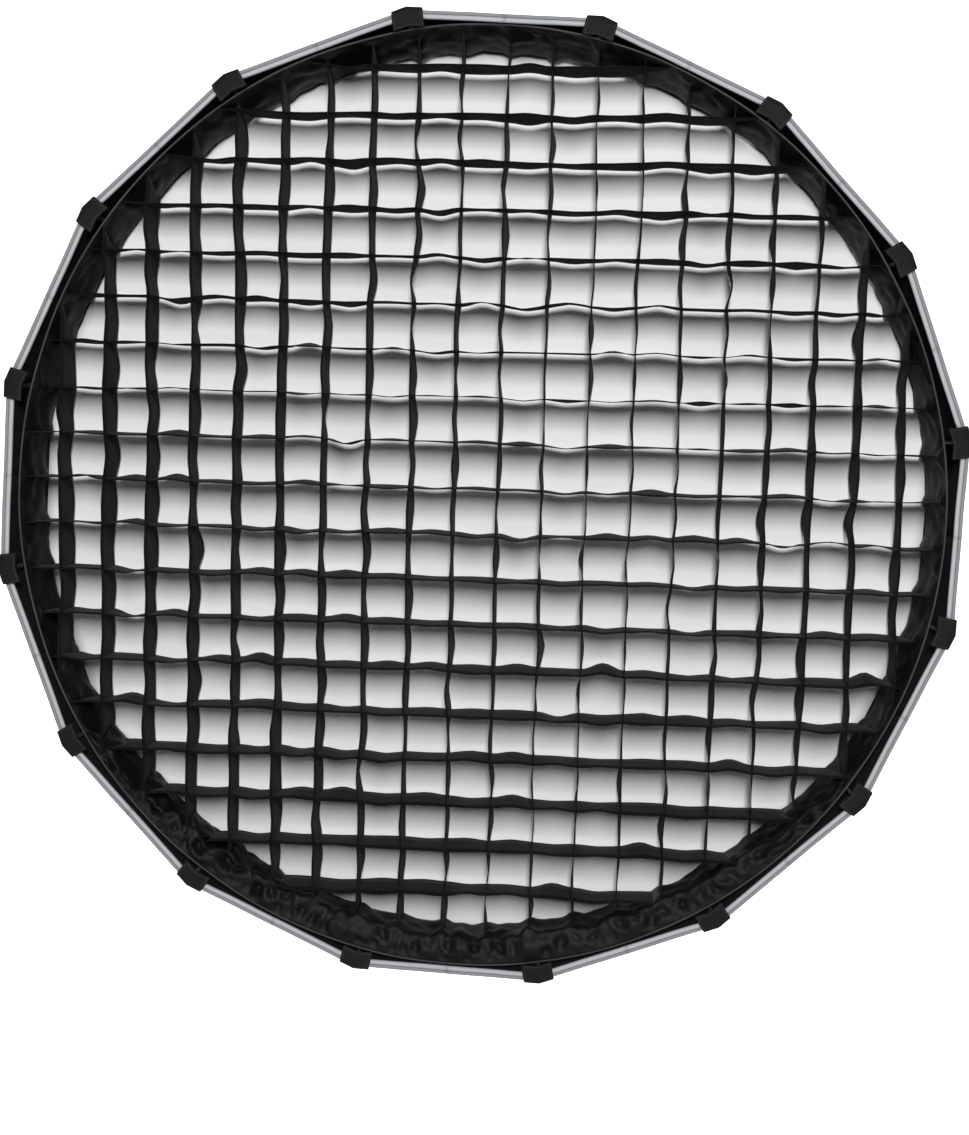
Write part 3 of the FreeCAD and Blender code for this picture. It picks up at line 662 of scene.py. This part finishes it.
def make_diffuser():
    """White front cloth, slightly slack between its edges."""
    rings, around = 40, 192
    depth = 0.0006
    points, uvs = [], []
    for layer in (0, 1):
        for ring in range(1, rings + 1):
            share = ring / rings
            for step in range(around):
                angle = 2 * math.pi * step / around
                flat = place(share * polygon_radius(angle, DIFFUSER_RADIUS), 0, angle)
                slack = noise.noise(flat * 5.0) * 0.0025 + noise.noise(flat * 17.0) * 0.0006
                bulge = slack * min(1.0, (1 - share) * 6)
                points.append(flat + Vector((0, -(DIFFUSER_FORWARD + bulge - layer * depth), 0)))
                uvs.append((flat.x, flat.z))
    size = rings * around
    faces = grid_faces(rings, around, 0, closed=True) + grid_faces(rings, around, size, closed=True)
    points += [Vector((0, -DIFFUSER_FORWARD, 0)), Vector((0, depth - DIFFUSER_FORWARD, 0))]
    uvs += [(0, 0), (0, 0)]
    outer = size - around
    for step in range(around):
        following = (step + 1) % around
        faces.append((2 * size, following, step))
        faces.append((2 * size + 1, size + step, size + following))
        faces.append((outer + step, outer + following, size + outer + following, size + outer + step))
    cloth = mesh_piece("front_cloth", points, faces, [DIFFUSER], uvs)
    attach(cloth, "front")
    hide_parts("front_diffuser")
    return cloth


def make_diffuser_band():
    """Black hook-tape band around the front cloth's edge."""
    def point_at(layer, share, angle):
        forward = BAND_SPAN[0] + share * (BAND_SPAN[1] - BAND_SPAN[0])
        return place(polygon_radius(angle, DIFFUSER_RADIUS + 0.0012 * layer), forward, angle), forward

    band = ring_cloth("front_cloth_band", point_at, 4, 192, LOOP, 2 * math.pi * DIFFUSER_RADIUS)
    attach(band, "front")
    return band


# --- fabric grid -------------------------------------------------------------------

HEM_REAR_RADIUS, HEM_REAR_DROP = 0.4165, 0.0100      # the drop is the rear edge's, at the bottom
HEM_FRONT_RADIUS, HEM_FRONT_RISE = 0.4270, 0.0055    # the rise is at the top and the bottom
HEM_HANGING_RADIUS = 0.4085                          # of the bend, at the bottom
HEM_THICKNESS, HEM_MEAN_RADIUS = 0.0009, 0.425
PIPING_RADIUS = 0.0009
HOLD_WIDTH, HOLD_DEPTH = 0.007, 0.0034               # how a strip's end pulls the hem in
STRIP_THICKNESS, STRIP_LEVELS, STRIP_STEPS_PER_CELL = 0.00075, 5, 7
STRIP_END_FADE = 0.02                                # waves die out over this length


def hem_line(angle):
    """(radius, forward) of the grid's cloth wall at its rear edge, its bend and its front edge.

    It is a cone all round but at the bottom, where it hangs straight and turns out into a flange.
    """
    low = smooth(0.4, 0.85, -math.sin(angle))
    rear = HEM_REAR_RADIUS - HEM_REAR_DROP * low
    front = HEM_FRONT_RADIUS + HEM_FRONT_RISE * math.sin(angle) ** 2
    cone = rear + (front - rear) * 0.85
    bend = cone + (HEM_HANGING_RADIUS - cone) * low
    return Vector((rear, GRID_REAR)), Vector((bend, HEM_BEND)), Vector((front, HEM_FORWARD))


def pulled(angle, radius):
    """How much the nearest strip's end holds the wall in, from 0 to 1."""
    turned = angle - GRID_TURN
    x, z = radius * math.cos(turned) - COLUMN_SHIFT, radius * math.sin(turned) - ROW_SHIFT
    from_column = abs((x / COLUMN_PITCH) % 1 - 0.5) * COLUMN_PITCH
    from_row = (0.5 - abs((z / ROW_PITCH) % 1 - 0.5)) * ROW_PITCH
    return max(math.sin(turned) ** 2 * math.exp(-(from_column / HOLD_WIDTH) ** 2),
               math.cos(turned) ** 2 * math.exp(-(from_row / HOLD_WIDTH) ** 2))


def heaviness(angle):
    """The wall hangs in deeper folds at the lower left."""
    away = (math.degrees(angle) - 226 + 180) % 360 - 180
    return 1 + 1.1 * math.exp(-(away / 24) ** 2) + 0.5 * smooth(0.3, 1.0, -math.sin(angle))


def wall_radius(angle, forward):
    """Distance from the axis to the cloth wall behind its bend, with its folds."""
    rear, bend, _ = hem_line(angle)
    deep = min(1.0, (forward - GRID_REAR) / (HEM_BEND - GRID_REAR))
    radius = rear.x + (bend.x - rear.x) * deep
    unit = place(1, 0, angle)
    folds = noise.noise(unit * 9.0 + Vector((0, deep * 1.3, 0))) * 0.0030
    creases = (0.5 - abs(noise.noise(unit * 22.0 + Vector((0, deep * 2.2, 0)))) * 2) * 0.0032
    held = pulled(angle, radius)
    return radius + (folds + creases) * (0.35 + 0.65 * deep) * heaviness(angle) - HOLD_DEPTH * held + 0.0008


def flange_point(angle, share):
    """(radius, forward) on the last stretch of the wall, from its bend to the piping."""
    _, bend, front = hem_line(angle)
    start = Vector((wall_radius(angle, HEM_BEND), HEM_BEND))
    point = start + (front - start) * share
    unit = place(1, 0, angle)
    free = math.sin(math.pi * min(1.0, share * 1.08)) * heaviness(angle)
    room = min(1.0, (front.x - bend.x) / 0.012)
    gathers = (0.5 - abs(noise.noise(unit * 34.0 + Vector((0, share * 1.5, 0)))) * 2) * 0.0050
    folds = noise.noise(unit * 14.0 + Vector((0, share, 5))) * 0.0030
    return point + Vector((folds * 0.3, gathers + folds)) * free * room


def make_hem():
    """Cloth wall around the strips, pulled in where they hold it and gathered towards the piping."""
    bend_share = 0.6

    def point_at(layer, share, angle):
        if share <= bend_share:
            forward = GRID_REAR + (HEM_BEND - GRID_REAR) * share / bend_share
            radius = wall_radius(angle, forward)
        else:
            radius, forward = flange_point(angle, (share - bend_share) / (1 - bend_share))
        depth = layer * HEM_THICKNESS
        return place(radius + depth, forward - depth * 0.3, angle), share * 0.06

    round_length = 2 * math.pi * HEM_MEAN_RADIUS
    hem = ring_cloth("grid_hem_cloth", point_at, 21, 900, HEM, round_length)
    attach(hem, "grid")
    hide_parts("grid_hem")
    edge = []
    around = 480
    for step in range(around):
        angle = 2 * math.pi * step / around
        wobble = noise.noise(place(5.0, 0, angle)) * 0.0008
        edge.append(place(hem_line(angle)[2].x + 0.0003 + wobble, HEM_FORWARD + 0.0006, angle))
    piping = closed_tube("grid_hem_piping", edge, PIPING_RADIUS, PIPING)
    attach(piping, "grid")


def crossing_shift(x, z):
    """How far a crossing has wandered from a true grid, at the rear and at the front edge."""
    reach = math.hypot(x, z) / hem_line(0)[0].x
    loose = 0.35 + 0.65 * reach * reach
    shifts = []
    for seed in (3.0, 11.0):
        place_x = Vector((x * 9.0, z * 9.0, seed))
        place_z = Vector((x * 9.0, z * 9.0, seed + 40.0))
        wander_x = noise.noise(place_x) * 0.0034 + noise.noise(place_x * 3.1) * 0.0020
        wander_z = noise.noise(place_z) * 0.0028 + noise.noise(place_z * 3.1) * 0.0018
        shifts.append((wander_x * loose, wander_z * loose))
    return shifts


def strip_end(offset, column, side, forward):
    """Where a strip meets the cloth wall, along its own direction."""
    along = side * math.sqrt(hem_line(0)[0].x ** 2 - offset ** 2)
    for _ in range(5):
        angle = math.atan2(along, offset) if column else math.atan2(offset, along)
        radius = wall_radius(angle + GRID_TURN, forward) + 0.0006
        along = side * math.sqrt(max(1e-6, radius ** 2 - offset ** 2))
    return along


def strip_waves(count, stream):
    """Random (rear, front, sharpness) of the wave in each cell of a strip."""
    waves = []
    for _ in range(count):
        rear = stream.gauss(0, 0.0021)
        front = rear * 0.35 + stream.gauss(0, 0.0011)
        kink = stream.uniform(0.6, 1.0) if stream.random() < 0.35 else 1.0
        waves.append((rear, front, kink))
    return waves


def strip_levels(offset, column):
    """(share of the depth, forward, both ends) of each level from the rear edge to the front."""
    levels = []
    for level in range(STRIP_LEVELS):
        deep = level / (STRIP_LEVELS - 1)
        forward = GRID_REAR + 0.0004 + deep * (GRID_FRONT - GRID_REAR)
        levels.append((deep, forward, [strip_end(offset, column, side, forward) for side in (-1, 1)]))
    return levels


def crossing_move(shifts, index, turned, deep):
    """How far a strip has moved in x and z between two crossings, at a share of its depth."""
    moved = []
    for axis in (0, 1):
        rear, front = [shifts[index][edge][axis] * (1 - turned) + shifts[index + 1][edge][axis] * turned
                       for edge in (0, 1)]
        moved.append(rear + (front - rear) * deep)
    return moved


def make_strip(offset, column, points, uvs, faces, stream):
    """Adds one sewn strip, wavy between its crossings, to the grid's mesh. Returns its length."""
    count = (GRID_ROWS if column else GRID_COLUMNS) + 2
    pitch, middle = (ROW_PITCH, ROW_SHIFT) if column else (COLUMN_PITCH, COLUMN_SHIFT)
    places = [(k - (count - 1) / 2) * pitch + middle for k in range(count)]
    shifts = [crossing_shift(offset, along) if column else crossing_shift(along, offset)
              for along in places]
    waves = strip_waves(count, stream)
    levels = strip_levels(offset, column)
    around = [(-1, level) for level in levels] + [(1, level) for level in reversed(levels)]
    longest = max(ends[1] - ends[0] for _, _, ends in levels)
    steps = int(STRIP_STEPS_PER_CELL * longest / pitch) + 2
    start = len(points)
    grid_turn = Matrix.Rotation(-GRID_TURN, 3, "Y")
    for step in range(steps + 1):
        for side, (deep, forward, ends) in around:
            along = ends[0] + (ends[1] - ends[0]) * step / steps
            cell = (along - places[0]) / pitch
            index = max(0, min(count - 2, int(cell)))
            t = max(0.0, min(1.0, cell - index))
            moved = crossing_move(shifts, index, t * t * (3 - 2 * t), deep)
            rear, front, kink = waves[index]
            hump = math.sin(math.pi * t) ** 2 if kink == 1.0 else (1 - abs(2 * t - 1)) ** kink
            fade = max(0.0, min(1.0, min(ends[1] - along, along - ends[0]) / STRIP_END_FADE))
            wave = (rear + (front - rear) * deep) * hump * (0.4 + 0.6 * fade)
            across = offset + wave + side * STRIP_THICKNESS / 2
            across += moved[0 if column else 1] * (0.3 + 0.7 * fade)
            along_shift = moved[1 if column else 0] * fade
            pair = (across, along + along_shift) if column else (along + along_shift, across)
            points.append(grid_turn @ Vector((pair[0], -forward, pair[1])))
            uvs.append((along, forward))
    ring = len(around)
    faces += grid_faces(steps + 1, ring, start, closed=True)
    faces.append(tuple(start + k for k in range(ring)))
    faces.append(tuple(start + steps * ring + k for k in range(ring)))
    return longest


def make_grid():
    """The strips that run up and down, and the strips that run across."""
    for name, column, count, pitch, shift in (
            ("grid_columns", True, GRID_COLUMNS, COLUMN_PITCH, COLUMN_SHIFT),
            ("grid_rows", False, GRID_ROWS, ROW_PITCH, ROW_SHIFT)):
        points, uvs, faces = [], [], []
        stream = random.Random(5 if column else 6)
        total = 0.0
        for index in range(count):
            offset = (index - (count - 1) / 2) * pitch + shift
            total += make_strip(offset, column, points, uvs, faces, stream)
        strips = mesh_piece(name, points, faces, [GRID], uvs)
        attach(strips, "grid")
        if column:
            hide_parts("grid_strips")


# --- rear collar -------------------------------------------------------------------

def make_collar():
    """Elastic collar from the hub to the shell, gathered in small pleats."""
    _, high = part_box("rear_collar")
    inner, outer = 0.0883, high.x
    pleats, pleat_height, depth = 72, 0.0006, 0.0009
    slope = math.tan(math.radians(90 - ROOT_ANGLE))

    def point_at(layer, share, angle):
        radius = inner + share * (outer - inner)
        forward = (radius - inner) * slope + layer * depth - high.y
        pleat = math.sin(angle * pleats + noise.noise(place(6, 0, angle)) * 2)
        return place(radius, forward - pleat * pleat_height * math.sin(math.pi * share), angle), share * 0.03

    round_length = 2 * math.pi * outer * 1.15
    collar = ring_cloth("rear_collar_cloth", point_at, 10, 576, COLLAR, round_length)
    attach(collar, "hub")
    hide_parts("rear_collar")


# --- floor, light and camera ---------------------------------------------------------

FLOOR_HEIGHT = -1.15
SWEEP_START, SWEEP_RADIUS, SWEEP_HEIGHT = 4.5, 3.0, 7.0


def make_floor():
    """A pale floor that curves up into a wall far behind the object."""
    half_width, steps = 16.0, 24
    line = [(-20.0, 0.0), (SWEEP_START, 0.0)]
    for step in range(1, steps + 1):
        turn = math.pi / 2 * step / steps
        line.append((SWEEP_START + SWEEP_RADIUS * math.sin(turn), SWEEP_RADIUS * (1 - math.cos(turn))))
    line.append((SWEEP_START + SWEEP_RADIUS, SWEEP_HEIGHT))
    points = [Vector((x, y, FLOOR_HEIGHT + z)) for y, z in line for x in (-half_width, half_width)]
    shader = Shader("floor", (0.82, 0.82, 0.82), 0.85)
    shader.vary_colour(shader.noise(shader.place(), 1.5), 0.99, 1.01)
    mesh_piece("floor", points, grid_faces(len(line), 2), [shader.material])


def area_light(name, where, towards, size, power):
    """A rectangular light aimed at a point; size in metres, power in watts."""
    data = bpy.data.lights.new(name, "AREA")
    data.shape = "RECTANGLE"
    data.size, data.size_y = size
    data.energy = power
    light = bpy.data.objects.new(name, data)
    light.location = where
    aim = Vector(towards) - Vector(where)
    light.rotation_euler = aim.to_track_quat("-Z", "Y").to_euler()
    bpy.context.scene.collection.objects.link(light)


def make_light():
    """A tall narrow light above the camera, one on the sweep, two behind, and dim light all round."""
    area_light("key", (0.19, -3.5, 1.15), (0, -0.5, 0), (0.35, 1.24), 92)
    area_light("sweep", (0, 1.2, 3.2), (0, 8, 0.6), (7, 1), 900)
    area_light("rear_left", (-2.4, 2.0, 1.5), (0, -0.2, 0), (1.4, 1.4), 45)
    area_light("rear_right", (2.4, 1.8, 0.9), (0, -0.2, 0), (1.2, 1.4), 30)
    world = bpy.data.worlds.new("studio")
    bpy.context.scene.world = world
    world.use_nodes = True
    world.node_tree.nodes["Background"].inputs["Color"].default_value = (1, 1, 1, 1)
    world.node_tree.nodes["Background"].inputs["Strength"].default_value = WORLD_STRENGTH


WORLD_STRENGTH = 0.22

CAMERA_PLACE = (0.113, -2.156, 0.108)
CAMERA_AZIMUTH, CAMERA_ELEVATION, CAMERA_ROLL = 3.59, 5.81, 3.52
SENSOR, FOCAL_SHARE = 36, 1.542         # focal length over the frame's long side


def make_camera():
    """A camera in front of the object, tilted a little about its own line of sight."""
    data = bpy.data.cameras.new("camera")
    data.sensor_width = SENSOR
    data.lens = SENSOR * FOCAL_SHARE
    camera = bpy.data.objects.new("camera", data)
    azimuth, elevation = math.radians(CAMERA_AZIMUTH), math.radians(CAMERA_ELEVATION)
    roll = math.radians(CAMERA_ROLL)
    back = Vector((math.sin(azimuth) * math.cos(elevation),
                   -math.cos(azimuth) * math.cos(elevation), math.sin(elevation)))
    right = (-back).cross(Vector((0, 0, 1))).normalized()
    up = right.cross(-back)
    rolled_right = right * math.cos(roll) + up * math.sin(roll)
    rolled_up = up * math.cos(roll) - right * math.sin(roll)
    turn = Matrix((rolled_right, rolled_up, back)).transposed().to_4x4()
    camera.matrix_world = Matrix.Translation(CAMERA_PLACE) @ turn
    bpy.context.scene.collection.objects.link(camera)
    bpy.context.scene.camera = camera


dress_cad_nodes()
make_shell()
cloth, band = make_diffuser(), make_diffuser_band()
make_grid()
make_hem()
make_collar()
make_floor()
make_light()
make_camera()
bpy.context.scene.view_settings.view_transform = "Standard"
